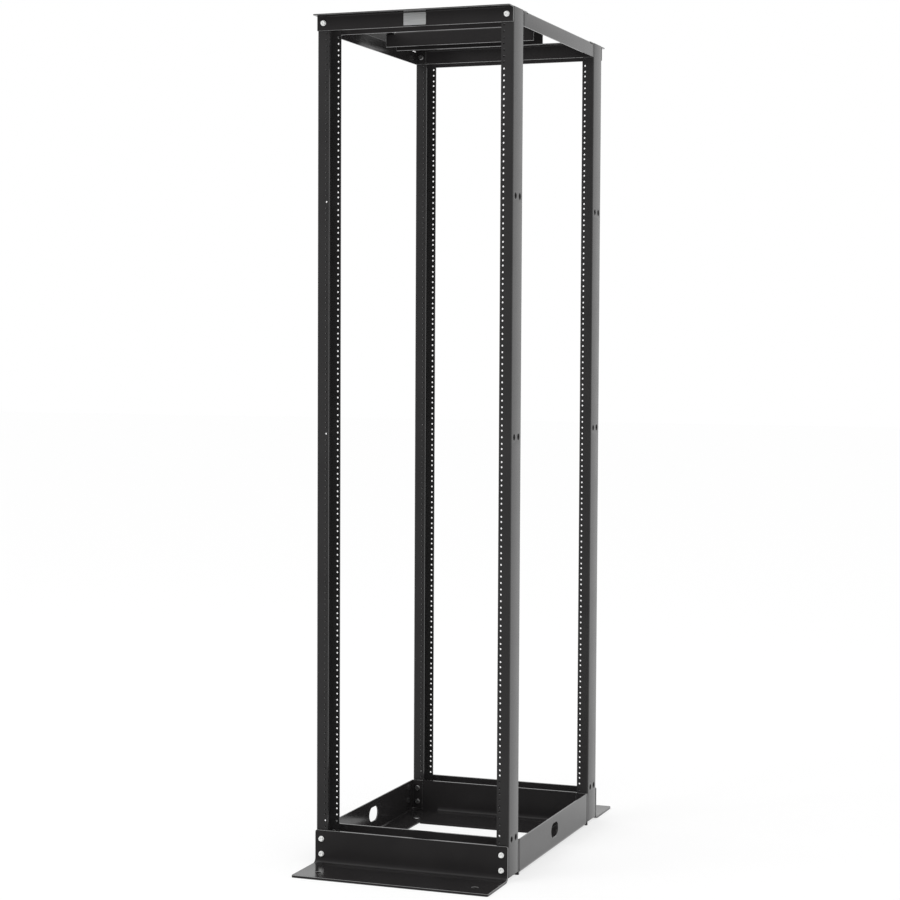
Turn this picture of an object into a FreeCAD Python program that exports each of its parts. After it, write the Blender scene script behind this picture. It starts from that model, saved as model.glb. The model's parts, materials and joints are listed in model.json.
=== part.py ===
import FreeCAD, Part
import math
import os
import Sketcher

# A four post open frame equipment rack: two bolted steel frames, one behind the other, tied together
# by side rails at the floor and at the top, with one cross bar in the middle of the top.
# +Z is up, the front faces -Y, and the origin is on the floor at the middle of the rack.

SIZES = {
    # the rack as a whole
    "frame_depth": 749.3,
    "opening_width": 450.85,
    # rack units, each with three tapped holes
    "unit_height": 44.45,
    "unit_count": 45,
    "unit_gap": 1.6,
    "hole_inset": 7.145,
    "hole_edge": 6.35,
    "hole_size": 4.8,
    # posts: folded channels with pairs of holes in their webs
    "post_depth": 76.2,
    "post_flange": 31.75,
    "post_gauge": 3,
    "post_bend": 5,
    "post_lift": 9.5,
    "web_hole_size": 14.3,
    "web_hole_pitch": 31.75,
    "web_hole_low": 101.2,
    "web_hole_middle": 1090.2,
    "web_hole_high": 1675.7,
    # base angles: heavier folded plate with holes for floor anchors
    "base_leg": 88.9,
    "foot_depth": 152.4,
    "foot_gap": 2,
    "base_gauge": 6.35,
    "base_bend": 19.05,
    "anchor_hole": 16,
    "anchor_inset": 50.8,
    "anchor_reach": 101.6,
    # top angles
    "top_leg": 38.1,
    "top_ledge": 31.75,
    "top_gauge": 3,
    "top_bend": 5,
    # rounded corners of both kinds of angle
    "corner_radius": 5,
    # side rails and cross bar
    "rail_flange": 76.2,
    "rail_gauge": 3,
    "rail_bend": 5,
    "ledge_gap": 2,
    "port_length": 60.3,
    "port_height": 38.1,
    "port_level": 50.8,
    "bar_depth": 76.2,
    "bar_overlap": 22.225,
    # holes of the bolts that join the pieces
    "bolt_hole": 10.4,
    "bolt_inset": 17,
    "bolt_drop": 19.05,
    "base_bolt_drop": 22.2,
    "bolt_pitch": 38.1,
}

# sizes that follow from the others
DERIVED = {
    "frame_width": "opening_width + 2 * post_flange",
    "frame_height": "base_leg + unit_gap + unit_count * unit_height + top_leg",
    "units_floor": "base_leg + unit_gap",
    "hole_columns": "opening_width + 2 * hole_inset",
    "hole_step": "unit_height / 2 - hole_edge",
    "half_width": "frame_width / 2",
    "half_depth": "frame_depth / 2",
    "post_inner": "frame_depth / 2 - post_depth",
    "base_inner": "post_inner - base_gauge",
    "base_shoulder": "rail_bend + ledge_gap",
    "base_run": "base_inner - base_shoulder",
    "foot_half": "half_width - rail_flange - foot_gap",
    "top_inner": "post_inner - top_gauge",
    "top_run": "post_inner - top_ledge - ledge_gap",
    "rail_level": "frame_height - top_leg",
    "bar_length": "frame_width - 2 * ( rail_flange - bar_overlap )",
}

# Equipment is shown bolted to round tapped bores at the foot and at the head of each outer flange.
# The many like holes between them are cut with four flats.
BORED_UNITS = (0, 44)

# Two bolts, one above the other, join a base angle to a post or to a rail.
BASE_BOLTS = ("base_leg - base_bolt_drop", "base_leg - base_bolt_drop - bolt_pitch")

ALONG_X = FreeCAD.Vector(1, 0, 0)
ALONG_Y = FreeCAD.Vector(0, 1, 0)
ALONG_Z = FreeCAD.Vector(0, 0, 1)

doc = FreeCAD.newDocument("open_frame_rack")
sheet = doc.addObject("Spreadsheet::Sheet", "Sizes")
for row, (alias, content) in enumerate({**SIZES, **DERIVED}.items(), start=1):
    sheet.set(f"A{row}", alias)
    sheet.set(f"B{row}", str(content) if alias in SIZES else f"={content}")
    sheet.setAlias(f"B{row}", alias)
doc.recompute()


def bound(formula):
    """A formula in size names, written so that a property can follow the sheet."""
    words = formula.replace("(", "( ").replace(")", " )").split()
    names = {**SIZES, **DERIVED}
    return " ".join("Sizes." + word if word in names else word for word in words)


def measure(formula):
    """The present value of a formula in size names."""
    return float(sheet.evalExpression(bound(formula)))


def spot(x="0", y="0", z="0"):
    return FreeCAD.Vector(measure(x), measure(y), measure(z))


def body(label):
    piece = doc.addObject("PartDesign::Body", label)
    piece.Label = label
    return piece


def origin_item(piece, role):
    """One of the body's own origin planes or axes."""
    return [item for item in piece.Origin.OriginFeatures if item.Role == role][0]


def sketch(piece, plane, raised="0"):
    """A sketch on one of the body's origin planes, moved along its normal."""
    drawing = piece.newObject("Sketcher::SketchObject", "Sketch")
    drawing.AttachmentSupport = [(origin_item(piece, plane), "")]
    drawing.MapMode = "FlatFace"
    drawing.setExpression("AttachmentOffset.Base.z", bound(raised))
    doc.recompute()
    return drawing


def pin(drawing, geometry, end, across, up):
    """Holds one point of a sketch at two formulas measured from the sketch's origin."""
    for kind, formula in (("DistanceX", across), ("DistanceY", up)):
        rule = Sketcher.Constraint(kind, -1, 1, geometry, end, measure(formula))
        drawing.setExpression(f"Constraints[{drawing.addConstraint(rule)}]", bound(formula))


def outline(drawing, corners):
    """A closed outline through corners given as formulas."""
    points = [spot(across, up) for across, up in corners]
    first = drawing.GeometryCount
    for i in range(len(points)):
        drawing.addGeometry(Part.LineSegment(points[i - 1], points[i]), False)
    for i, (across, up) in enumerate(corners):
        following = first + (i + 1) % len(corners)
        drawing.addConstraint(Sketcher.Constraint("Coincident", first + i, 2, following, 1))
        pin(drawing, first + i, 2, across, up)


def rectangle(drawing, left, right, low, high):
    outline(drawing, [(left, low), (right, low), (right, high), (left, high)])


def circle(drawing, across, up, diameter):
    centre = spot(across, up)
    ring = drawing.addGeometry(Part.Circle(centre, ALONG_Z, measure(diameter) / 2), False)
    pin(drawing, ring, 3, across, up)
    rule = Sketcher.Constraint("Diameter", ring, measure(diameter))
    drawing.setExpression(f"Constraints[{drawing.addConstraint(rule)}]", bound(diameter))


def flat_hole(drawing, across, up, size):
    """One of many like holes, cut with four flats."""
    half = f"{size} / 2"
    outline(drawing, [(f"{across} - {half}", up), (across, f"{up} + {half}"),
                      (f"{across} + {half}", up), (across, f"{up} - {half}")])


def slot(drawing, across, up, length, height):
    """A slot with round ends, lying level, centred at the given point."""
    reach = f"( {length} - {height} ) / 2"
    half = measure(height) / 2
    right, left = spot(f"{across} + {reach}", up), spot(f"{across} - {reach}", up)
    rise = FreeCAD.Vector(0, half, 0)
    quarter = math.pi / 2
    drawing.addGeometry([
        Part.ArcOfCircle(Part.Circle(right, ALONG_Z, half), -quarter, quarter),
        Part.LineSegment(right + rise, left + rise),
        Part.ArcOfCircle(Part.Circle(left, ALONG_Z, half), quarter, 3 * quarter),
        Part.LineSegment(left - rise, right - rise),
    ], False)
    for i in range(4):
        drawing.addConstraint(Sketcher.Constraint("Tangent", i, 2, (i + 1) % 4, 1))
    pin(drawing, 0, 3, f"{across} + {reach}", up)
    pin(drawing, 2, 3, f"{across} - {reach}", up)
    rule = Sketcher.Constraint("Radius", 0, half)
    drawing.setExpression(f"Constraints[{drawing.addConstraint(rule)}]", bound(f"{height} / 2"))


def pad(piece, drawing, length, centred=False):
    """Grows a sketch into solid along its normal, or to both sides of it."""
    solid = piece.newObject("PartDesign::Pad", "Pad")
    solid.Profile = drawing
    solid.setExpression("Length", bound(length))
    solid.Midplane = centred
    doc.recompute()
    return solid


def pocket(piece, drawing, depth, reverse=False):
    """Cuts a sketch out of the body to a depth, and makes sure that something was cut."""
    before = piece.Shape.Volume
    cut = piece.newObject("PartDesign::Pocket", "Pocket")
    cut.Profile = drawing
    cut.setExpression("Length", bound(depth))
    cut.Reversed = reverse
    doc.recompute()
    if not piece.Shape.Volume < before:
        raise ValueError(piece.Label + ": a pocket cut nothing")
    return cut


def repeat(piece, cut, axis, length, count):
    """Repeats a cut in a row along one of the body's axes."""
    row = piece.newObject("PartDesign::LinearPattern", "Row")
    row.Refine = False
    row.Originals = [cut]
    row.Direction = (origin_item(piece, axis), [""])
    row.setExpression("Length", bound(length))
    row.Occurrences = count
    piece.Tip = row
    doc.recompute()
    return row


def bend(piece, along, spots, radius):
    """Rounds the straight edges that run along one axis through the given spots."""
    feature = piece.Tip
    names = []
    for number, edge in enumerate(feature.Shape.Edges, start=1):
        ends = [vertex.Point for vertex in edge.Vertexes]
        if len(ends) == 2 and (ends[1] - ends[0]).cross(along).Length < 0.001:
            if any((ends[0] - place).cross(along).Length < 0.001 for place in spots):
                names.append(f"Edge{number}")
    fold = piece.newObject("PartDesign::Fillet", "Bend")
    fold.Base = (feature, names)
    fold.setExpression("Radius", bound(radius))
    doc.recompute()
    return fold


def place(piece, x="0", y="0", z="0", turned=False):
    """Stands a finished piece in the rack, turned half round about the upright where asked."""
    if turned:
        piece.Placement.Rotation = FreeCAD.Rotation(ALONG_Z, 180)
    for axis, formula in (("x", x), ("y", y), ("z", z)):
        piece.setExpression("Placement.Base." + axis, bound(formula))


def post(label, side, end):
    """A folded channel. Its web faces outward and its flanges face front and rear.

    side is -1 for left and 1 for right, end is -1 for front and 1 for rear. It is drawn as a front
    post, with the drilled outer flange at y = 0. A rear post is a front one turned half round.
    """
    piece = body(label)
    hand = -side * end
    web_out, web_in = f"{hand} * half_width", f"{hand} * ( half_width - post_gauge )"
    lip = f"{hand} * opening_width / 2"
    section = sketch(piece, "XY_Plane", "post_lift")
    outline(section, [(lip, "0"), (web_out, "0"), (web_out, "post_depth"), (lip, "post_depth"),
                      (lip, "post_depth - post_gauge"), (web_in, "post_depth - post_gauge"),
                      (web_in, "post_gauge"), (lip, "post_gauge")])
    pad(piece, section, "frame_height - post_lift")
    bend(piece, ALONG_Z, [spot(web_out, "0"), spot(web_out, "post_depth")], "post_bend")
    bend(piece, ALONG_Z, [spot(web_in, "post_gauge"), spot(web_in, "post_depth - post_gauge")],
         "post_bend - post_gauge")

    joints = sketch(piece, "XZ_Plane")
    for level in ("frame_height - bolt_drop", *BASE_BOLTS):
        flat_hole(joints, f"{hand} * ( half_width - bolt_inset )", level, "bolt_hole")
    pocket(piece, joints, "post_depth")

    ties = sketch(piece, "YZ_Plane", web_in)
    for level in ("web_hole_low", "web_hole_middle", "web_hole_high"):
        for shift in (-0.5, 0.5):
            flat_hole(ties, f"post_depth / 2 + {shift} * web_hole_pitch", level, "web_hole_size")
    pocket(piece, ties, "post_gauge", reverse=hand > 0)

    column = f"{hand} * hole_columns / 2"
    flats = sketch(piece, "XZ_Plane")
    for step in range(3):
        flat_hole(flats, column, f"units_floor + hole_edge + {step} * hole_step", "hole_size")
    cut = pocket(piece, flats, "post_gauge")
    repeat(piece, cut, "Z_Axis", "( unit_count - 1 ) * unit_height", int(measure("unit_count")))

    bores = sketch(piece, "XZ_Plane")
    for unit in BORED_UNITS:
        for edge in ("hole_edge", "unit_height - hole_edge"):
            circle(bores, column, f"units_floor + {unit} * unit_height + {edge}", "hole_size")
    pocket(piece, bores, "post_gauge")

    place(piece, y=f"{end} * half_depth", turned=end > 0)


def base_angle(label, y, turned, inner):
    """A thick folded angle across the rack: its leg is bolted to the posts, its foot lies on the floor.

    The foot of an inner angle is cut back at both ends, to lie between the flanges of the base rails.
    """
    piece = body(label)
    section = sketch(piece, "YZ_Plane")
    outline(section, [("0", "0"), ("foot_depth", "0"), ("foot_depth", "base_gauge"),
                      ("base_gauge", "base_gauge"), ("base_gauge", "base_leg"), ("0", "base_leg")])
    pad(piece, section, "frame_width", centred=True)
    bend(piece, ALONG_X, [spot()], "base_bend")
    bend(piece, ALONG_X, [spot(y="base_gauge", z="base_gauge")], "base_bend - base_gauge")

    foot_end = "foot_half" if inner else "half_width"
    if inner:
        ends = sketch(piece, "XY_Plane")
        for side in (-1, 1):
            rectangle(ends, f"{side} * foot_half", f"{side} * half_width", "base_gauge", "foot_depth")
        pocket(piece, ends, "base_bend", reverse=True)
    bend(piece, ALONG_Z, [spot(f"{side} * {foot_end}", "foot_depth") for side in (-1, 1)], "corner_radius")
    bend(piece, ALONG_Y, [spot(f"{side} * half_width", z="base_leg") for side in (-1, 1)], "corner_radius")

    joints = sketch(piece, "XZ_Plane")
    for side in (-1, 1):
        for level in BASE_BOLTS:
            flat_hole(joints, f"{side} * ( half_width - bolt_inset )", level, "bolt_hole")
    pocket(piece, joints, "base_gauge")

    if not inner:
        anchors = sketch(piece, "XY_Plane")
        for side in (-1, 1):
            circle(anchors, f"{side} * ( half_width - anchor_inset )", "anchor_reach", "anchor_hole")
        pocket(piece, anchors, "base_gauge", reverse=True)
    place(piece, y=y, turned=turned)


def top_angle(label, y, turned):
    """A folded angle across the top: its leg hangs down against the posts, its ledge is level."""
    piece = body(label)
    section = sketch(piece, "YZ_Plane")
    under = "frame_height - top_gauge"
    outline(section, [("0", "frame_height"), ("top_ledge", "frame_height"), ("top_ledge", under),
                      ("top_gauge", under), ("top_gauge", "rail_level"), ("0", "rail_level")])
    pad(piece, section, "frame_width", centred=True)
    bend(piece, ALONG_X, [spot(z="frame_height")], "top_bend")
    bend(piece, ALONG_X, [spot(y="top_gauge", z=under)], "top_bend - top_gauge")
    bend(piece, ALONG_Z, [spot(f"{side} * half_width", "top_ledge") for side in (-1, 1)], "corner_radius")

    joints = sketch(piece, "XZ_Plane")
    for side in (-1, 1):
        flat_hole(joints, f"{side} * ( half_width - bolt_inset )", "frame_height - bolt_drop", "bolt_hole")
    pocket(piece, joints, "top_gauge")
    place(piece, y=y, turned=turned)


def rail_sheet(piece, end, run, edge, shoulder, face, flange_low):
    """The folded sheet of a side rail: upright web, level flange turned inward, and a tab at each end.

    The web stands from its free edge to the face of the flange. The flange stops at run, short of the
    angles' bends, and from there on the web and the tabs stop at the shoulder.
    """
    web_in = "half_width - rail_gauge"
    side = sketch(piece, "YZ_Plane", web_in)
    outline(side, [(f"-1 * {end}", edge), (end, edge), (end, shoulder), (run, shoulder), (run, face),
                   (f"-1 * {run}", face), (f"-1 * {run}", shoulder), (f"-1 * {end}", shoulder)])
    pad(piece, side, "rail_gauge")
    flange = sketch(piece, "XY_Plane", flange_low)
    rectangle(flange, "half_width - rail_flange", "half_width", f"-1 * {run}", run)
    pad(piece, flange, "rail_gauge")
    low, high = sorted((edge, shoulder), key=measure)
    tabs = sketch(piece, "XY_Plane", low)
    rectangle(tabs, "half_width - post_flange", "half_width", f"{end} - rail_gauge", end)
    rectangle(tabs, "half_width - post_flange", "half_width", f"-1 * {end}", f"rail_gauge - {end}")
    pad(piece, tabs, f"{high} - ( {low} )")
    bend(piece, ALONG_Z, [spot("half_width", f"-1 * {end}"), spot("half_width", end)], "rail_bend")
    bend(piece, ALONG_Z, [spot(web_in, f"rail_gauge - {end}"), spot(web_in, f"{end} - rail_gauge")],
         "rail_bend - rail_gauge")
    within = f"{flange_low} + rail_gauge" if edge == high else flange_low
    bend(piece, ALONG_Y, [spot("half_width", z=face)], "rail_bend")
    bend(piece, ALONG_Y, [spot(web_in, z=within)], "rail_bend - rail_gauge")


def tab_holes(piece, end, levels):
    joints = sketch(piece, "XZ_Plane", end)
    for level in levels:
        flat_hole(joints, "half_width - bolt_inset", level, "bolt_hole")
    pocket(piece, joints, f"2 * {end}")


def base_rail(label, turned):
    """The lower side rail. Its flange lies on the floor, and its web has a level slot for cables.

    Inside the notches at its outer corners the flange runs on, as far as the legs of the angles.
    """
    piece = body(label)
    rail_sheet(piece, "base_inner", "base_run", "base_leg", "base_shoulder", "0", "0")
    tongues = sketch(piece, "XY_Plane")
    rectangle(tongues, "half_width - rail_flange", "half_width - base_shoulder",
              "ledge_gap - base_inner", "base_inner - ledge_gap")
    pad(piece, tongues, "rail_gauge")
    tab_holes(piece, "base_inner", BASE_BOLTS)

    port = sketch(piece, "YZ_Plane", "half_width")
    slot(port, "0", "port_level", "port_length", "port_height")
    pocket(piece, port, "rail_gauge")

    anchors = sketch(piece, "XY_Plane")
    for end in (-1, 1):
        circle(anchors, "half_width - anchor_inset", f"{end} * ( post_inner - anchor_reach )", "anchor_hole")
    pocket(piece, anchors, "rail_gauge", reverse=True)
    place(piece, turned=turned)


def top_rail(label, turned):
    """The upper side rail. Its flange is level with the top and carries the cross bar."""
    piece = body(label)
    rail_sheet(piece, "top_inner", "top_run", "rail_level", "frame_height - top_bend",
               "frame_height", "frame_height - rail_gauge")
    tab_holes(piece, "top_inner", ["frame_height - bolt_drop"])
    place(piece, turned=turned)


def cross_bar(label):
    """A channel across the middle of the top, open downward, under the flanges of the side rails."""
    piece = body(label)
    section = sketch(piece, "YZ_Plane")
    side, inside = "bar_depth / 2", "bar_depth / 2 - rail_gauge"
    crown, under = "frame_height - rail_gauge", "frame_height - 2 * rail_gauge"
    outline(section, [(f"-1 * {side}", "rail_level"), (f"-1 * {side}", crown), (side, crown),
                      (side, "rail_level"), (inside, "rail_level"), (inside, under),
                      (f"-1 * ( {inside} )", under), (f"-1 * ( {inside} )", "rail_level")])
    pad(piece, section, "bar_length", centred=True)
    corners = [spot(y=f"{end} * {side}", z=crown) for end in (-1, 1)]
    bend(piece, ALONG_X, corners, "rail_bend")
    corners = [spot(y=f"{end} * ( {inside} )", z=under) for end in (-1, 1)]
    bend(piece, ALONG_X, corners, "rail_bend - rail_gauge")


for side, hand in ((-1, "left"), (1, "right")):
    post(f"front_{hand}_post", side, -1)
    post(f"rear_{hand}_post", side, 1)
    base_rail(f"{hand}_base_rail", turned=side < 0)
    top_rail(f"{hand}_top_rail", turned=side < 0)
for end, name in ((-1, "front"), (1, "rear")):
    base_angle(f"{name}_base_angle", f"{end} * half_depth", turned=end < 0, inner=False)
    base_angle(f"{name}_inner_base_angle", f"{end} * post_inner", turned=end > 0, inner=True)
    top_angle(f"{name}_top_angle", f"{end} * half_depth", turned=end < 0)
    top_angle(f"{name}_inner_top_angle", f"{end} * post_inner", turned=end > 0)
cross_bar("top_cross_bar")
doc.recompute()

pieces = [item for item in doc.Objects if item.TypeId == "PartDesign::Body"]
for item in doc.Objects:
    if "Invalid" in item.State or "Error" in item.State:
        raise ValueError(f"{item.Label} failed: {item.State}")
for piece in pieces:
    if piece.Shape.isNull() or not piece.Shape.isValid():
        raise ValueError(piece.Label + " has no valid shape")
os.makedirs("parts", exist_ok=True)
for piece in pieces:
    piece.Shape.exportStep(f"parts/{piece.Label}.step")
    print(piece.Label, round(piece.Shape.Volume), piece.Shape.BoundBox, len(piece.Shape.Solids))
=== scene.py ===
import json
import math
import bmesh
import bpy
from mathutils import Matrix, Vector
from mathutils.geometry import tessellate_polygon


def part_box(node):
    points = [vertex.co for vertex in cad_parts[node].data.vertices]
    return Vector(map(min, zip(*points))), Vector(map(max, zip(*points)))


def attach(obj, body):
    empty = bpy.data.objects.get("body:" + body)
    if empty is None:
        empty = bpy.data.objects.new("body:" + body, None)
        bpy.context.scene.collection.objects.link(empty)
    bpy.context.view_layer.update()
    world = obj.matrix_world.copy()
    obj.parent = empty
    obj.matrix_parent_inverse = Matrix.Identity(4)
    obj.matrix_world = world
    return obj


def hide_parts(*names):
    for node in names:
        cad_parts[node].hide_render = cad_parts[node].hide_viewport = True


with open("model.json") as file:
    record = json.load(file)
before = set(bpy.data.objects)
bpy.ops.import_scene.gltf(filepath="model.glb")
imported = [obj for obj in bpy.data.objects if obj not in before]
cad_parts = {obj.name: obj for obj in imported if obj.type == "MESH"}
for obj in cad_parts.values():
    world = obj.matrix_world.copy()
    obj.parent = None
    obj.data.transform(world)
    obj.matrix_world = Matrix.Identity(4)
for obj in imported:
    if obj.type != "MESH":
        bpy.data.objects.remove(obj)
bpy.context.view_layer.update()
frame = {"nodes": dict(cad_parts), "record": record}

MM = 0.001


# ---------------------------------------------------------------------------
# Powder coat. Every folded sheet of the rack is steel, baked with a smooth
# black powder. The coat is glossy, with a fine orange peel and soft variation.
# ---------------------------------------------------------------------------

COAT_IOR = 1.43
PEEL_DEPTH = 0.012 * MM
NOISE_LOW, NOISE_HIGH = 0.3, 0.7    # where a noise's values mostly lie


def new_material(name, roughness, metallic=0.0):
    material = bpy.data.materials.new(name)
    material.use_nodes = True
    shader = material.node_tree.nodes["Principled BSDF"]
    shader.inputs["Roughness"].default_value = roughness
    shader.inputs["Metallic"].default_value = metallic
    return material, material.node_tree, shader


def object_noise(tree, scale, detail, stretch=(1, 1, 1)):
    """A noise that is fixed to the piece, as fine as scale repeats a metre."""
    place = tree.nodes.new("ShaderNodeTexCoord")
    mapping = tree.nodes.new("ShaderNodeMapping")
    mapping.inputs["Scale"].default_value = stretch
    noise = tree.nodes.new("ShaderNodeTexNoise")
    noise.inputs["Scale"].default_value = scale
    noise.inputs["Detail"].default_value = detail
    tree.links.new(place.outputs["Object"], mapping.inputs["Vector"])
    tree.links.new(mapping.outputs["Vector"], noise.inputs["Vector"])
    return noise.outputs["Fac"]


def vary_roughness(tree, noise, smoothest, roughest, shader):
    spread = tree.nodes.new("ShaderNodeMapRange")
    spread.inputs["From Min"].default_value = NOISE_LOW
    spread.inputs["From Max"].default_value = NOISE_HIGH
    spread.inputs["To Min"].default_value = smoothest
    spread.inputs["To Max"].default_value = roughest
    tree.links.new(noise, spread.inputs["Value"])
    tree.links.new(spread.outputs["Result"], shader.inputs["Roughness"])


def blend_colours(tree, noise, darkest, lightest, shader):
    ramp = tree.nodes.new("ShaderNodeValToRGB")
    ramp.color_ramp.elements[0].position = NOISE_LOW
    ramp.color_ramp.elements[0].color = (*darkest, 1)
    ramp.color_ramp.elements[1].position = NOISE_HIGH
    ramp.color_ramp.elements[1].color = (*lightest, 1)
    tree.links.new(noise, ramp.inputs["Fac"])
    tree.links.new(ramp.outputs["Color"], shader.inputs["Base Color"])


def bumps(tree, noise, depth, shader):
    bump = tree.nodes.new("ShaderNodeBump")
    bump.inputs["Strength"].default_value = 1.0
    bump.inputs["Distance"].default_value = depth
    tree.links.new(noise, bump.inputs["Height"])
    tree.links.new(bump.outputs["Normal"], shader.inputs["Normal"])


def coat(name, darkest, lightest, smoothest, roughest):
    material, tree, shader = new_material(name, roughest)
    shader.inputs["IOR"].default_value = COAT_IOR
    blend_colours(tree, object_noise(tree, scale=9, detail=6), darkest, lightest, shader)
    vary_roughness(tree, object_noise(tree, scale=14, detail=5), smoothest, roughest, shader)
    bumps(tree, object_noise(tree, scale=420, detail=2), PEEL_DEPTH, shader)
    return material


# ---------------------------------------------------------------------------
# Posts. Each is a channel folded from one strip of steel, with tapped holes
# in both flanges, three to a rack unit, and pairs of plain holes in the web.
# ---------------------------------------------------------------------------

UNIT = 44.45 * MM                   # height of a rack unit
UNITS = 45
HOLE_STEPS = (6.35 * MM, 22.225 * MM, 38.1 * MM)
HOLE_RADIUS = 2.4 * MM
HOLE_SIDES = 16
COLUMN = 465.14 * MM / 2            # from the middle of the rack to a row of tapped holes
SHEET = 3 * MM
BEND = 5 * MM                       # outer radius of the folds
BEND_FACETS = 6
WEB_HOLE_RADIUS = 8 * MM
WEB_HOLE_SIDES = 24
WEB_HOLE_PITCH = 31.75 * MM
WEB_LEVELS = (101.2 * MM, 1090.2 * MM, 1675.7 * MM)
WELD = 0.001 * MM                   # points that lie closer than this are one
CRISP = 35                          # degrees between faces, above which their edge is sharp

post_low, post_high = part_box("front_right_post")
post_width = post_high.x - post_low.x
post_depth = post_high.y - post_low.y
frame_half = post_high.x            # half the rack's width
posts_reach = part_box("rear_right_post")[1].y
lowest_unit = next(m for m in frame["record"]["mounts"] if m["name"] == "front_foot_unit")
units_floor = lowest_unit["pos_m"][2] - UNIT / 2

post_coat = coat("black powder coat of the posts", darkest=(0.027, 0.0262, 0.0265),
                 lightest=(0.033, 0.032, 0.0323), smoothest=0.14, roughest=0.24)


def finish_mesh(name, mesh, material, crisp=CRISP):
    """Gives a piece its material, its soft folds and crisp edges, and shows it."""
    mesh.materials.clear()
    mesh.materials.append(material)
    mesh.shade_smooth()
    mesh.set_sharp_from_angle(angle=math.radians(crisp))
    piece = bpy.data.objects.new(name, mesh)
    bpy.context.scene.collection.objects.link(piece)
    return piece


def baked(piece):
    """Replaces a piece's mesh by what its modifiers make of it."""
    bpy.context.view_layer.update()
    result = piece.evaluated_get(bpy.context.evaluated_depsgraph_get())
    mesh = bpy.data.meshes.new_from_object(result)
    piece.modifiers.clear()
    piece.data = mesh
    return piece


def ring(centre_a, centre_b, radius, sides):
    turns = [2 * math.pi * (i + 0.5) / sides for i in range(sides)]
    return [(centre_a + radius * math.cos(t), centre_b + radius * math.sin(t)) for t in turns]


def panel(mesh, to_space, outer, holes):
    """A flat sheet face with holes in it, its points placed in space by to_space."""
    loops = [outer] + holes
    flat = [[Vector((a, b, 0)) for a, b in loop] for loop in loops]
    points = [mesh.verts.new(to_space(a, b)) for loop in loops for a, b in loop]
    for corners in tessellate_polygon(flat):
        mesh.faces.new([points[i] for i in corners])


def fold_in(mesh, low, high):
    """The quarter round fold between a flange and the web."""
    turns = [math.pi / 2 * i / BEND_FACETS for i in range(BEND_FACETS + 1)]
    path = [(BEND - BEND * math.sin(t), BEND - BEND * math.cos(t)) for t in turns]
    for (x0, y0), (x1, y1) in zip(path, path[1:]):
        corners = [(x0, y0, low), (x1, y1, low), (x1, y1, high), (x0, y0, high)]
        mesh.faces.new([mesh.verts.new(corner) for corner in corners])


def flange_outline(low, high):
    return [(BEND, low), (post_width, low), (post_width, high), (BEND, high)]


def unit_of_flange():
    """One rack unit of a flange and its fold, as the outer skin of the sheet.

    x runs from the web's outer face to the flange's free edge, and y is the
    depth behind the flange's face.
    """
    mesh = bmesh.new()
    column = frame_half - COLUMN
    joins = [(below + above) / 2 for below, above in zip(HOLE_STEPS, HOLE_STEPS[1:])]
    levels = [0] + joins + [UNIT]
    for step, low, high in zip(HOLE_STEPS, levels, levels[1:]):
        hole = ring(column, step, HOLE_RADIUS, HOLE_SIDES)
        panel(mesh, lambda a, b: (a, 0, b), flange_outline(low, high), [hole])
        fold_in(mesh, low, high)
    bmesh.ops.remove_doubles(mesh, verts=mesh.verts, dist=WELD)
    made = bpy.data.meshes.new("unit of flange")
    mesh.to_mesh(made)
    return made


def plain_flange(mesh, low, high):
    mesh.faces.new([mesh.verts.new((x, 0, z)) for x, z in flange_outline(low, high)])
    fold_in(mesh, low, high)


def node_group(name, inputs):
    """An empty node group for geometry, with the given further inputs."""
    tree = bpy.data.node_groups.new(name, "GeometryNodeTree")
    for socket, kind in {"Geometry": "Geometry", **inputs}.items():
        tree.interface.new_socket(socket, in_out="INPUT", socket_type="NodeSocket" + kind)
    tree.interface.new_socket("Geometry", in_out="OUTPUT", socket_type="NodeSocketGeometry")
    return tree, tree.nodes.new, tree.links.new


def stacking_tree():
    """Repeats a rack unit upward, one copy at each point of an upright line, as one mesh."""
    tree, add, link = node_group("stack rack units", {
        "Units": "Int", "Unit Height": "Float", "Floor": "Float", "Coat": "Material"})
    given, made = add("NodeGroupInput"), add("NodeGroupOutput")
    rise, floor = add("ShaderNodeCombineXYZ"), add("ShaderNodeCombineXYZ")
    line, copies = add("GeometryNodeMeshLine"), add("GeometryNodeInstanceOnPoints")
    realize, merge = add("GeometryNodeRealizeInstances"), add("GeometryNodeMergeByDistance")
    coated = add("GeometryNodeSetMaterial")
    merge.inputs["Distance"].default_value = WELD
    link(given.outputs["Unit Height"], rise.inputs["Z"])
    link(given.outputs["Floor"], floor.inputs["Z"])
    link(given.outputs["Units"], line.inputs["Count"])
    link(rise.outputs["Vector"], line.inputs["Offset"])
    link(floor.outputs["Vector"], line.inputs["Start Location"])
    link(line.outputs["Mesh"], copies.inputs["Points"])
    link(given.outputs["Geometry"], copies.inputs["Instance"])
    link(copies.outputs["Instances"], realize.inputs["Geometry"])
    link(realize.outputs["Geometry"], merge.inputs["Geometry"])
    link(merge.outputs["Geometry"], coated.inputs["Geometry"])
    link(given.outputs["Coat"], coated.inputs["Material"])
    link(coated.outputs["Geometry"], made.inputs["Geometry"])
    return tree


def with_nodes(piece, tree, **values):
    """Runs a node tree on a piece, with its named inputs, and keeps the result as a plain mesh."""
    modifier = piece.modifiers.new("nodes", "NODES")
    modifier.node_group = tree
    for socket in tree.interface.items_tree:
        key = socket.name.replace(" ", "_").lower()
        if socket.in_out == "INPUT" and key in values:
            modifier[socket.identifier] = values[key]
    return baked(piece)


stack = with_nodes(finish_mesh("rack units", unit_of_flange(), post_coat), stacking_tree(),
                   units=UNITS, unit_height=UNIT, floor=units_floor, coat=post_coat)

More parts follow.
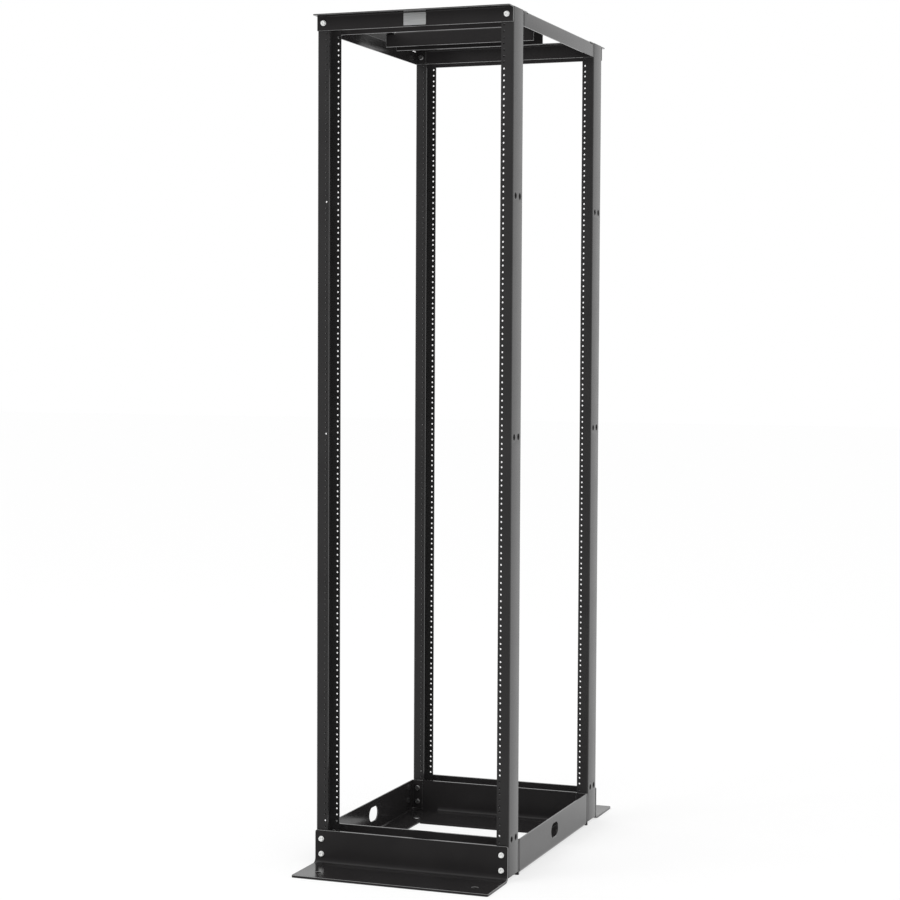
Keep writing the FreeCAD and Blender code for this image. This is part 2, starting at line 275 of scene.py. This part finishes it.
channel = bmesh.new()
channel.from_mesh(stack.data)
bpy.data.objects.remove(stack)
plain_flange(channel, post_low.z, units_floor)
plain_flange(channel, units_floor + UNITS * UNIT, post_high.z)
other_flange = channel.copy()
mirror = Matrix.Translation((0, post_depth, 0)) @ Matrix.Scale(-1, 4, (0, 1, 0))
bmesh.ops.transform(other_flange, matrix=mirror, verts=other_flange.verts)
mirrored = bpy.data.meshes.new("other flange")
other_flange.to_mesh(mirrored)
channel.from_mesh(mirrored)

# the web joins the folds, so its long edges have a point wherever theirs have one
levels = sorted({round(v.co.z, 6) for v in channel.verts if v.co.x < WELD})
front_edge = [(BEND, z) for z in levels]
rear_edge = [(post_depth - BEND, z) for z in reversed(levels)]
web_holes = [ring(post_depth / 2 + side * WEB_HOLE_PITCH / 2, level, WEB_HOLE_RADIUS, WEB_HOLE_SIDES)
             for level in WEB_LEVELS for side in (-1, 1)]
panel(channel, lambda a, b: (0, a, b), front_edge + rear_edge, web_holes)
bmesh.ops.remove_doubles(channel, verts=channel.verts, dist=2 * WELD)


def post(name, side, end):
    """One post: the skin is set up in its corner of the rack and thickened inward."""
    skin = channel.copy()
    for vertex in skin.verts:
        x, y, z = vertex.co
        vertex.co = (side * (frame_half - x), end * (posts_reach - y), z)
    bmesh.ops.recalc_face_normals(skin, faces=skin.faces)
    web = next(f for f in skin.faces if abs(f.calc_center_median().x) > frame_half - WELD)
    if web.normal.x * side < 0:
        bmesh.ops.reverse_faces(skin, faces=skin.faces)
    mesh = bpy.data.meshes.new(name)
    skin.to_mesh(mesh)
    piece = finish_mesh(name, mesh, post_coat)
    thicken = piece.modifiers.new("sheet", "SOLIDIFY")
    thicken.thickness = SHEET
    thicken.offset = -1
    thicken.use_even_offset = True
    baked(piece)
    piece.data.set_sharp_from_angle(angle=math.radians(CRISP))
    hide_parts(name.replace("drilled_", ""))
    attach(piece, "root")


for side, hand in ((-1, "left"), (1, "right")):
    post(f"drilled_front_{hand}_post", side, -1)
    post(f"drilled_rear_{hand}_post", side, 1)


# ---------------------------------------------------------------------------
# Base and top angles, side rails and cross bar. They are folded from sheet
# like the posts, with deburred edges, whose rounding is painted a lighter grey as a painted highlight.
# ---------------------------------------------------------------------------

EDGE_ROUNDING = 0.7 * MM
EDGE_ANGLE = 50                     # degrees between faces, above which their edge is rounded
SAME_PLANE = 1                      # degrees between faces, below which they are one
STEP = 1.5 * MM                     # length of the slope where a sheet changes level

powder_coat = coat("black powder coat", darkest=(0.02, 0.0188, 0.0192),
                   lightest=(0.024, 0.0226, 0.023), smoothest=0.12, roughest=0.2)
# the eased edges are painted a lighter grey than the coat: a painted highlight along them
edge_painted_highlight = coat("painted highlight on the cut edges", darkest=(0.2, 0.2, 0.2),
                 lightest=(0.3, 0.3, 0.3), smoothest=0.1, roughest=0.2)


def folded_sheet(node, reshape=None):
    """A coated sheet: the construction's own shape, its edges eased and its folds smooth."""
    mesh = bmesh.new()
    mesh.from_mesh(frame["nodes"][node].data)
    bmesh.ops.remove_doubles(mesh, verts=mesh.verts, dist=WELD)
    bmesh.ops.dissolve_limit(mesh, angle_limit=math.radians(SAME_PLANE),
                             verts=mesh.verts, edges=mesh.edges)
    if reshape:
        reshape(mesh)
    made = bpy.data.meshes.new("coated_" + node)
    mesh.to_mesh(made)
    piece = finish_mesh("coated_" + node, made, powder_coat)
    made.materials.append(edge_painted_highlight)
    ease = piece.modifiers.new("eased edges", "BEVEL")
    ease.width = EDGE_ROUNDING
    # material 1 is the painted highlight on the eased edges
    ease.material = 1               # the edge coat
    ease.segments = 2
    ease.limit_method = "ANGLE"
    ease.angle_limit = math.radians(EDGE_ANGLE)
    ease.harden_normals = True
    baked(piece)
    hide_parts(node)
    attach(piece, "root")


def cut_across(mesh, place):
    """Cuts a mesh square across at two places on each side, a step apart.

    Its middle or its ends can then be reshaped, with a slope between the two.
    """
    for at in (place, place - STEP, -place, STEP - place):
        bmesh.ops.bisect_plane(mesh, geom=mesh.verts[:] + mesh.edges[:] + mesh.faces[:],
                               plane_co=(at, 0, 0), plane_no=(1, 0, 0))


# the cross bar lies forward of the middle, flush with the top, and its ends are pressed down
# by one sheet to pass under the side rails
BAR_SHIFT = 18 * MM
bar_low, bar_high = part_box("top_cross_bar")
rail_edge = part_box("right_top_rail")[0].x - STEP


def raise_middle(mesh):
    cut_across(mesh, rail_edge)
    half_up = (bar_low.z + bar_high.z) / 2
    for vertex in mesh.verts:
        if abs(vertex.co.x) < rail_edge - STEP / 2 and vertex.co.z > half_up:
            vertex.co.z += SHEET
        vertex.co.y -= BAR_SHIFT


# beside its foot the leg of an inner base angle isn't folded, and runs straight down to the floor
BASE_GAUGE = 6.35 * MM
BASE_BEND = 19.05 * MM              # outer radius of the fold between leg and foot
MARGIN = 0.05 * MM
FLOOR_GAP = 0.2 * MM
foot_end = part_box("right_base_rail")[0].x
inner_leg = -post_high.y            # from the middle of the rack to the face on the posts


def square_ends(mesh):
    cut_across(mesh, foot_end)
    for vertex in mesh.verts:
        beside_foot = abs(vertex.co.x) > foot_end - STEP / 2
        on_leg = abs(abs(vertex.co.y) - inner_leg) < BASE_GAUGE + MARGIN
        if beside_foot and on_leg and vertex.co.z < BASE_BEND + MARGIN:
            vertex.co.z = FLOOR_GAP


# the fold at the foot of a side rail is rounder than its other folds
FOLD_RISE = 5.5 * MM
FOLD_REACH = 14 * MM
FOLD_TOP = 20 * MM                  # below all that isn't the fold or the flange


def round_foot(mesh):
    outer = max(abs(vertex.co.x) for vertex in mesh.verts)
    for vertex in mesh.verts:
        inward = outer - abs(vertex.co.x)
        if vertex.co.z < FOLD_TOP and inward < FOLD_REACH:
            vertex.co.z += FOLD_RISE * (1 - inward / FOLD_REACH) ** 2


RESHAPED = {"top_cross_bar": raise_middle,
            "left_base_rail": round_foot, "right_base_rail": round_foot,
            "front_inner_base_angle": square_ends, "rear_inner_base_angle": square_ends}
for node in sorted(frame["nodes"]):
    if not node.endswith("post"):
        folded_sheet(node, RESHAPED.get(node))


# ---------------------------------------------------------------------------
# Bolts. Zinc plated flange bolts with dished hexagon heads join the angles,
# posts and rails, with a flange nut on the thread inside each post.
# ---------------------------------------------------------------------------

BOLT_INSET = 17 * MM                # from the side of the rack
BOLT_DROP = 19.05 * MM              # from the top
BASE_BOLT_DROP = 22.2 * MM          # from the top of a base angle
BOLT_PITCH = 38.1 * MM
FLATS = 11 * MM                     # across the flats of heads and nuts
CORNERS = FLATS / math.sqrt(3)      # radius over their corners
CHAMFERED = 0.88 * CORNERS
CHAMFER = 0.8 * MM
COLLAR_RADIUS = 7 * MM
HEAD_COLLAR = 0.9 * MM              # height of the collar's rim
COLLAR_SLOPE = 0.6 * MM             # how far the rim is rounded inward
HEAD_SLOPE = 1.5 * MM               # height at which the rounding ends
HEAD_FOOT = 1.9 * MM                # height at which the flats begin
HEAD_HEIGHT = 5.5 * MM
DISH_RADIUS = 3.2 * MM
DISH_FLOOR = 2 * MM                 # radius of the dish's flat floor
DISH_DEPTH = 2.4 * MM
NUT_COLLAR = 1.2 * MM
NUT_FOOT = 2 * MM
NUT_HEIGHT = 7.2 * MM
THREAD_RADIUS = 4.4 * MM
THREAD_GAP = 0.4 * MM
THREAD_FOOT = 6.8 * MM              # height at which the thread leaves the nut
THREAD_HEIGHT = 10.2 * MM
THREAD_CHAMFER = 0.7 * MM
THREAD_END = 11 * MM
FASTENER_SIDES = 24
FASTENER_CRISP = 30                 # degrees
PLATING_GRAIN = 0.02 * MM


def plating(name, metallic, darkest, lightest):
    material, tree, shader = new_material(name, 0.3, metallic)
    blend_colours(tree, object_noise(tree, scale=260, detail=4), darkest, lightest, shader)
    vary_roughness(tree, object_noise(tree, scale=500, detail=3), 0.2, 0.36, shader)
    bumps(tree, object_noise(tree, scale=900, detail=2), PLATING_GRAIN, shader)
    return material


# the outer heads get a lit copy of the zinc, near white and hardly metallic, as painted light; the
# inner heads and the nuts keep the plain metallic zinc
zinc_painted_lit = plating("zinc plate painted lit", 0.05, (0.86, 0.87, 0.86), (0.97, 0.97, 0.96))
plain_zinc = plating("plain zinc plate", 1.0, (0.6, 0.6, 0.6), (0.8, 0.8, 0.79))


def lathe(name, profile):
    """Stacks rings into a closed solid. A ring is (radius, height), and "hex" cuts it to the flats."""
    mesh = bmesh.new()
    rings = []
    for radius, height, *cut in profile:
        points = []
        for i in range(FASTENER_SIDES):
            turn = 2 * math.pi * i / FASTENER_SIDES
            reach = radius
            if cut:
                off = (turn + math.pi / 6) % (math.pi / 3) - math.pi / 6
                reach = min(radius, FLATS / 2 / math.cos(off))
            points.append(mesh.verts.new((reach * math.cos(turn), reach * math.sin(turn), height)))
        rings.append(points)
    for below, above in zip(rings, rings[1:]):
        for i in range(FASTENER_SIDES):
            j = (i + 1) % FASTENER_SIDES
            mesh.faces.new([below[i], below[j], above[j], above[i]])
    mesh.faces.new(list(reversed(rings[0])))
    mesh.faces.new(rings[-1])
    made = bpy.data.meshes.new(name)
    mesh.to_mesh(made)
    return finish_mesh(name, made, zinc_painted_lit, FASTENER_CRISP)


bolt_head = lathe("flange bolt head", [
    (COLLAR_RADIUS, 0),
    (COLLAR_RADIUS, HEAD_COLLAR),
    (COLLAR_RADIUS - COLLAR_SLOPE, HEAD_SLOPE),
    (CORNERS, HEAD_FOOT, "hex"),
    (CORNERS, HEAD_HEIGHT - CHAMFER, "hex"),
    (CHAMFERED, HEAD_HEIGHT, "hex"),
    (DISH_RADIUS, HEAD_HEIGHT),
    (DISH_FLOOR, HEAD_HEIGHT - DISH_DEPTH)])
flange_nut = lathe("flange nut", [
    (COLLAR_RADIUS, 0),
    (COLLAR_RADIUS, NUT_COLLAR),
    (CORNERS, NUT_FOOT, "hex"),
    (CORNERS, NUT_HEIGHT - CHAMFER, "hex"),
    (CHAMFERED, NUT_HEIGHT, "hex"),
    (THREAD_RADIUS + THREAD_GAP, NUT_HEIGHT),
    (THREAD_RADIUS, THREAD_FOOT),
    (THREAD_RADIUS, THREAD_HEIGHT),
    (THREAD_RADIUS - THREAD_CHAMFER, THREAD_END)])


def fastening_tree():
    """Sets a fastener on each point, along the point's own facing and turned by chance about it."""
    tree, add, link = node_group("set fasteners", {
        "Fastener": "Object", "Seed": "Int", "Plating": "Material"})
    given, made = add("NodeGroupInput"), add("NodeGroupOutput")
    fastener, facing = add("GeometryNodeObjectInfo"), add("GeometryNodeInputNamedAttribute")
    aim, chance = add("FunctionNodeAlignRotationToVector"), add("FunctionNodeRandomValue")
    copies, spin = add("GeometryNodeInstanceOnPoints"), add("GeometryNodeRotateInstances")
    about, realize = add("ShaderNodeCombineXYZ"), add("GeometryNodeRealizeInstances")
    plated = add("GeometryNodeSetMaterial")
    facing.data_type = "FLOAT_VECTOR"
    facing.inputs["Name"].default_value = "facing"
    aim.axis = "Z"
    chance.data_type = "FLOAT"      # its Max and Value share their names, so they go by number
    chance.inputs[3].default_value = math.pi / 3
    link(given.outputs["Fastener"], fastener.inputs["Object"])
    link(facing.outputs["Attribute"], aim.inputs["Vector"])
    link(given.outputs["Seed"], chance.inputs["Seed"])
    link(given.outputs["Geometry"], copies.inputs["Points"])
    link(fastener.outputs["Geometry"], copies.inputs["Instance"])
    link(aim.outputs["Rotation"], copies.inputs["Rotation"])
    link(copies.outputs["Instances"], spin.inputs["Instances"])
    link(chance.outputs[1], about.inputs["Z"])
    link(about.outputs["Vector"], spin.inputs["Rotation"])
    link(spin.outputs["Instances"], realize.inputs["Geometry"])
    link(realize.outputs["Geometry"], plated.inputs["Geometry"])
    link(given.outputs["Plating"], plated.inputs["Material"])
    link(plated.outputs["Geometry"], made.inputs["Geometry"])
    return tree


fastening = fastening_tree()


def fasten(name, fastener, spots, seed, plated):
    """One piece of all the like fasteners. A spot is (place, facing)."""
    points = bpy.data.meshes.new(name)
    points.from_pydata([place for place, _ in spots], [], [])
    facing = points.attributes.new("facing", "FLOAT_VECTOR", "POINT")
    for value, (_, direction) in zip(facing.data, spots):
        value.vector = direction
    piece = bpy.data.objects.new(name, points)
    bpy.context.scene.collection.objects.link(piece)
    with_nodes(piece, fastening, fastener=fastener, seed=seed, plating=plated)
    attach(piece, "root")


base_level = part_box("front_base_angle")[1].z - BASE_BOLT_DROP
joints = [(post_high.z - BOLT_DROP, SHEET),
          (base_level, BASE_GAUGE), (base_level - BOLT_PITCH, BASE_GAUGE)]
heads, inner_heads, nuts = [], [], []
for end, name in ((-1, "front"), (1, "rear")):
    inner_face, outer_face = sorted(abs(corner.y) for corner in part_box(f"{name}_right_post"))
    for side in (-1, 1):
        x = side * (frame_half - BOLT_INSET)
        for z, gauge in joints:
            heads.append(((x, end * (outer_face + gauge), z), (0, end, 0)))
            nuts.append(((x, end * (outer_face - SHEET), z), (0, -end, 0)))
            inner_heads.append(((x, end * (inner_face - gauge - SHEET), z), (0, -end, 0)))
            nuts.append(((x, end * (inner_face + SHEET), z), (0, end, 0)))
# the outer heads are painted lit, the inner heads and the nuts are plain zinc
fasten("joint_bolts", bolt_head, heads, 4, zinc_painted_lit)
fasten("inner_joint_bolts", bolt_head, inner_heads, 6, plain_zinc)
fasten("joint_nuts", flange_nut, nuts, 9, plain_zinc)
bpy.data.objects.remove(bolt_head)
bpy.data.objects.remove(flange_nut)


# ---------------------------------------------------------------------------
# Label plate. A small blank plate of brushed aluminium with rounded corners,
# stuck to the front of the top angle, near its middle.
# ---------------------------------------------------------------------------

PLATE_WIDTH = 58.5 * MM
PLATE_HEIGHT = 30.4 * MM
PLATE_MIDDLE = 2.8 * MM             # right of the rack's middle
PLATE_DROP = 0.6 * MM               # below the middle of the angle's leg
PLATE_GAUGE = 0.8 * MM
PLATE_CORNER = 2 * MM
CORNER_STEPS = 4
PLATE_ROUNDING = 0.2 * MM
BRUSHED = (0.03, 1, 1)              # the grain is long across the rack
BRUSH_DEPTH = 0.01 * MM

aluminium, tree, shader = new_material("brushed aluminium", 0.35, metallic=0.6)
grain = object_noise(tree, scale=700, detail=3, stretch=BRUSHED)
blend_colours(tree, grain, (0.62, 0.63, 0.63), (0.78, 0.79, 0.79), shader)
vary_roughness(tree, grain, 0.28, 0.42, shader)
bumps(tree, grain, BRUSH_DEPTH, shader)

leg_low, leg_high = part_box("front_top_angle")
plate_back = post_low.y - SHEET
plate_level = (leg_low.z + leg_high.z) / 2 - PLATE_DROP
reach = PLATE_WIDTH / 2 - PLATE_CORNER
rise = PLATE_HEIGHT / 2 - PLATE_CORNER
outline = []
for right, up, start in ((1, -1, -90), (1, 1, 0), (-1, 1, 90), (-1, -1, 180)):
    for i in range(CORNER_STEPS + 1):
        turn = math.radians(start + 90 * i / CORNER_STEPS)
        outline.append((PLATE_MIDDLE + right * reach + PLATE_CORNER * math.cos(turn),
                        plate_level + up * rise + PLATE_CORNER * math.sin(turn)))
mesh = bmesh.new()
front = mesh.faces.new([mesh.verts.new((x, plate_back - PLATE_GAUGE, z)) for x, z in outline])
grown = bmesh.ops.extrude_face_region(mesh, geom=[front])
for item in grown["geom"]:
    if isinstance(item, bmesh.types.BMVert):
        item.co.y = plate_back
bmesh.ops.recalc_face_normals(mesh, faces=mesh.faces)
made = bpy.data.meshes.new("label_plate")
mesh.to_mesh(made)
plate = finish_mesh("label_plate", made, aluminium)
ease = plate.modifiers.new("eased edges", "BEVEL")
ease.width = PLATE_ROUNDING
ease.segments = 2
baked(plate)
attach(plate, "root")


# ---------------------------------------------------------------------------
# Studio. A pale floor under an even white surround, with one broad soft lamp.
# Mirrored rays meet a dim room in front of the rack, where a camera stands,
# and the floor glows a little, so that its shadows stay light.
# ---------------------------------------------------------------------------

DIM_ROOM = 0.12                     # the room's brightness against the white surround
ROOM_FROM = -0.75                   # a ray's run to the rear at which it meets the dim room
WHITE_FROM = 0.15                   # and at which it meets the white surround
FLOOR_REACH = 30                    # metres each way
FLOOR_WHITE = 0.975
FLOOR_GLOW = 0.65                   # share of the floor's brightness that no shadow takes
LAMP_PLACE = Vector((-2.5, -3.5, 4.5))
LAMP_AIM = Vector((0, 0, 1))
LAMP_WIDTH = 3.0
LAMP_POWER = 60
CAMERA_PLACE = (1.9247, -5.2935, 1.3152)
CAMERA_TURN, CAMERA_TILT, CAMERA_ROLL = 0.3554, -0.0492, -0.0048
CAMERA_LENS = 85.729


def toward_room(tree, direction, sign):
    """Brightness of what a mirrored ray meets, and full for any other ray.

    The direction is the ray's own where the sign is 1, and points back along it where it is -1.
    """
    split = tree.nodes.new("ShaderNodeSeparateXYZ")
    depth = tree.nodes.new("ShaderNodeMapRange")
    depth.interpolation_type = "SMOOTHSTEP"
    depth.inputs["From Min"].default_value = ROOM_FROM * sign
    depth.inputs["From Max"].default_value = WHITE_FROM * sign
    depth.inputs["To Min"].default_value = DIM_ROOM
    rays = tree.nodes.new("ShaderNodeLightPath")
    mix = tree.nodes.new("ShaderNodeMix")
    mix.data_type = "FLOAT"
    mix.inputs["A"].default_value = 1.0
    tree.links.new(direction, split.inputs["Vector"])
    tree.links.new(split.outputs["Y"], depth.inputs["Value"])
    tree.links.new(rays.outputs["Is Glossy Ray"], mix.inputs["Factor"])
    tree.links.new(depth.outputs["Result"], mix.inputs["B"])
    return mix.outputs["Result"]


def share(tree, value, whole):
    """A value that runs from 0 to 1, spread from 0 to the whole."""
    node = tree.nodes.new("ShaderNodeMapRange")
    node.inputs["To Max"].default_value = whole
    tree.links.new(value, node.inputs["Value"])
    return node.outputs["Result"]


scene = bpy.context.scene
scene.view_settings.view_transform = "Standard"

surround = bpy.data.worlds.new("white surround")
scene.world = surround
surround.use_nodes = True
tree = surround.node_tree
backdrop = tree.nodes["Background"]
backdrop.inputs["Color"].default_value = (1, 1, 1, 1)
place = tree.nodes.new("ShaderNodeTexCoord")
tree.links.new(toward_room(tree, place.outputs["Generated"], 1), backdrop.inputs["Strength"])

paint, tree, shader = new_material("pale floor", 0.9)
shader.inputs["Specular IOR Level"].default_value = 0.0
shader.inputs["Emission Color"].default_value = (1, 1, 1, 1)
place = tree.nodes.new("ShaderNodeNewGeometry")
seen = toward_room(tree, place.outputs["Incoming"], -1)
tree.links.new(share(tree, seen, FLOOR_WHITE * (1 - FLOOR_GLOW)), shader.inputs["Base Color"])
tree.links.new(share(tree, seen, FLOOR_GLOW), shader.inputs["Emission Strength"])

corners = [(x * FLOOR_REACH, y * FLOOR_REACH, 0) for x, y in ((-1, -1), (1, -1), (1, 1), (-1, 1))]
floor_mesh = bpy.data.meshes.new("floor")
floor_mesh.from_pydata(corners, [], [(0, 1, 2, 3)])
floor_mesh.materials.append(paint)
floor = bpy.data.objects.new("floor", floor_mesh)
scene.collection.objects.link(floor)

lamp_data = bpy.data.lights.new("soft lamp", "AREA")
lamp_data.shape = "DISK"
lamp_data.size = LAMP_WIDTH
lamp_data.energy = LAMP_POWER
lamp = bpy.data.objects.new("soft lamp", lamp_data)
lamp.location = LAMP_PLACE
lamp.rotation_euler = (LAMP_AIM - LAMP_PLACE).to_track_quat("-Z", "Y").to_euler()
lamp.visible_glossy = False
scene.collection.objects.link(lamp)

camera_data = bpy.data.cameras.new("camera")
camera_data.sensor_width = 36
camera_data.lens = CAMERA_LENS
camera_data.clip_end = 100
camera = bpy.data.objects.new("camera", camera_data)
turned = (Matrix.Rotation(CAMERA_TURN, 3, "Z") @ Matrix.Rotation(CAMERA_TILT, 3, "X")
          @ Matrix.Rotation(CAMERA_ROLL, 3, "Y"))
right, ahead, up = turned.col
facing = Matrix((right, up, -ahead)).transposed().to_4x4()
camera.matrix_world = Matrix.Translation(CAMERA_PLACE) @ facing
scene.collection.objects.link(camera)
scene.camera = camera
